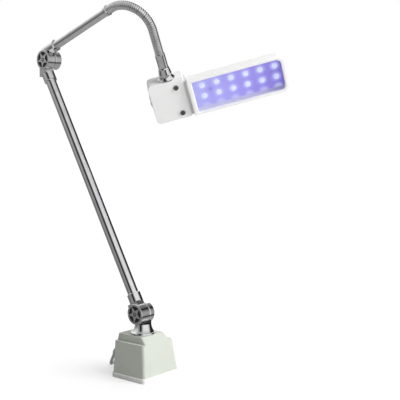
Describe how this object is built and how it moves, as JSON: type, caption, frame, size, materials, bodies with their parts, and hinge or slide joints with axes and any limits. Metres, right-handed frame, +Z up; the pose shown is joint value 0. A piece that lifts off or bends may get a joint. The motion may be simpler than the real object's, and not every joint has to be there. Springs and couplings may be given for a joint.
{
  "type": "uv curing lamp",
  "caption": "Bench lamp with a violet LED head on a gooseneck and two folding chromed arms, over a heavy tapered power-supply base.",
  "frame": {"origin": "centre of the underside of the base plate, on the surface the lamp stands on", "axes": "+Z up, +Y towards the back of the base where the mains cord leaves, +X to the right of someone facing the base's front from -Y"},
  "size_m": [0.2707, 0.371, 0.6004],
  "materials": {
    "plate_enamel": "satin white enamel",
    "housing_plastic": "fine-textured pale grey-green moulding",
    "core_steel": "black varnished laminations",
    "copper": "enamelled copper wire",
    "board_green": "solder-masked board",
    "chrome": "polished plating",
    "steel": "zinc-plated steel",
    "dark_plastic": "moulded black",
    "cord_grey": "smooth grey flexible plastic",
    "pin_brass": "nickel-plated brass",
    "gasket_rubber": "soft grey seal",
    "head_plastic": "glossy white moulded plastic",
    "window": "clear window, lit violet from behind",
    "violet_board": "board lit violet",
    "aluminium": "mill finish plate",
    "led_dome": "lit lens"
  },
  "bodies": {
    "base": {"base_plate": "plate_enamel", "base_housing": "housing_plastic", "housing_screws": "steel", "transformer_core": "core_steel", "transformer_bobbin": "dark_plastic", "transformer_winding": "copper", "transformer_strap": "steel", "strap_screws": "steel", "driver_board": "board_green", "cord_gland": "cord_grey", "mains_cord": "cord_grey", "mains_cord_coil": "cord_grey", "mains_cord_tail": "cord_grey", "cord_tie": "dark_plastic", "mains_plug": "cord_grey", "plug_pins": "pin_brass"},
    "foot": {"swivel_foot": "chrome", "lower_elbow_bolt": "steel", "lower_elbow_nut": "steel", "lower_elbow_back_cap": "chrome", "foot_stem": "steel", "foot_nut": "steel"},
    "lower_arm": {"lower_arm_knuckle": "chrome", "lower_elbow_star_cap": "chrome", "lower_arm_tube": "chrome", "lower_arm_set_screws": "steel", "upper_elbow_knuckle": "chrome", "upper_elbow_star_cap": "chrome"},
    "upper_arm": {"upper_arm_knuckle": "chrome", "upper_elbow_bolt": "steel", "upper_elbow_nut": "steel", "upper_elbow_back_cap": "chrome", "upper_arm_tube": "chrome", "upper_arm_set_screw": "steel", "neck_base_collar": "chrome", "neck_link_1": "chrome"},
    "neck_2": {"neck_link_2": "chrome"},
    "neck_3": {"neck_link_3": "chrome"},
    "neck_4": {"neck_link_4": "chrome"},
    "neck_5": {"neck_link_5": "chrome"},
    "neck_6": {"neck_link_6": "chrome"},
    "neck_7": {"neck_link_7": "chrome"},
    "neck_8": {"neck_link_8": "chrome", "neck_ferrule": "chrome"},
    "head": {"neck_bell": "chrome", "head_nipple": "steel", "head_nut": "steel", "switch_box": "head_plastic", "switch_cover": "head_plastic", "cover_screws": "steel", "switch_body": "dark_plastic", "head_gasket": "gasket_rubber", "lamp_housing": "head_plastic", "window_frame": "head_plastic", "lamp_window": "window", "led_board": "violet_board", "heat_spreader": "aluminium", "board_screws": "steel", "leds": "led_dome"},
    "rocker": {"rocker": "dark_plastic"}
  },
  "joints": [
    {"name": "base_swivel", "type": "hinge", "parent": "base", "child": "foot", "pos_m": [-0.003, 0, 0.0684], "axis": [0, 0, 1], "range_deg": [-170, 170]},
    {"name": "lower_elbow", "type": "hinge", "parent": "foot", "child": "lower_arm", "pos_m": [-0.0073, 0, 0.1025], "axis": [1, 0, 0], "range_deg": [-25, 45]},
    {"name": "upper_elbow", "type": "hinge", "parent": "lower_arm", "child": "upper_arm", "pos_m": [-0.0073, 0.21116, 0.51817], "axis": [1, 0, 0], "range_deg": [-60, 15]},
    {"name": "neck_bend_1", "type": "hinge", "parent": "upper_arm", "child": "neck_2", "pos_m": [-0.0073, 0.04609, 0.59193], "axis": [0.8251, 0.1839, 0.5342], "range_deg": [-14, 3]},
    {"name": "neck_bend_2", "type": "hinge", "parent": "neck_2", "child": "neck_3", "pos_m": [-0.00522, 0.03332, 0.59313], "axis": [0.8251, 0.1839, 0.5342], "range_deg": [-14, 3]},
    {"name": "neck_bend_3", "type": "hinge", "parent": "neck_3", "child": "neck_4", "pos_m": [-0.00124, 0.02111, 0.59118], "axis": [0.8251, 0.1839, 0.5342], "range_deg": [-14, 3]},
    {"name": "neck_bend_4", "type": "hinge", "parent": "neck_4", "child": "neck_5", "pos_m": [0.00432, 0.01045, 0.58626], "axis": [0.8251, 0.1839, 0.5342], "range_deg": [-14, 3]},
    {"name": "neck_bend_5", "type": "hinge", "parent": "neck_5", "child": "neck_6", "pos_m": [0.01101, 0.00222, 0.57876], "axis": [0.8251, 0.1839, 0.5342], "range_deg": [-14, 3]},
    {"name": "neck_bend_6", "type": "hinge", "parent": "neck_6", "child": "neck_7", "pos_m": [0.01828, -0.00292, 0.56929], "axis": [0.8251, 0.1839, 0.5342], "range_deg": [-14, 3]},
    {"name": "neck_bend_7", "type": "hinge", "parent": "neck_7", "child": "neck_8", "pos_m": [0.02554, -0.00454, 0.55864], "axis": [0.8251, 0.1839, 0.5342], "range_deg": [-14, 3]},
    {"name": "head_swivel", "type": "hinge", "parent": "neck_8", "child": "head", "pos_m": [0.07393, 0.01021, 0.47882], "axis": [0.512, 0.1561, -0.8447], "range_deg": [-90, 90]},
    {"name": "rocker_switch", "type": "hinge", "parent": "head", "child": "rocker", "pos_m": [0.07282, 0.04123, 0.44363], "axis": [0.5843, 0.6575, 0.4757], "range_deg": [-18, 0]}
  ]
}
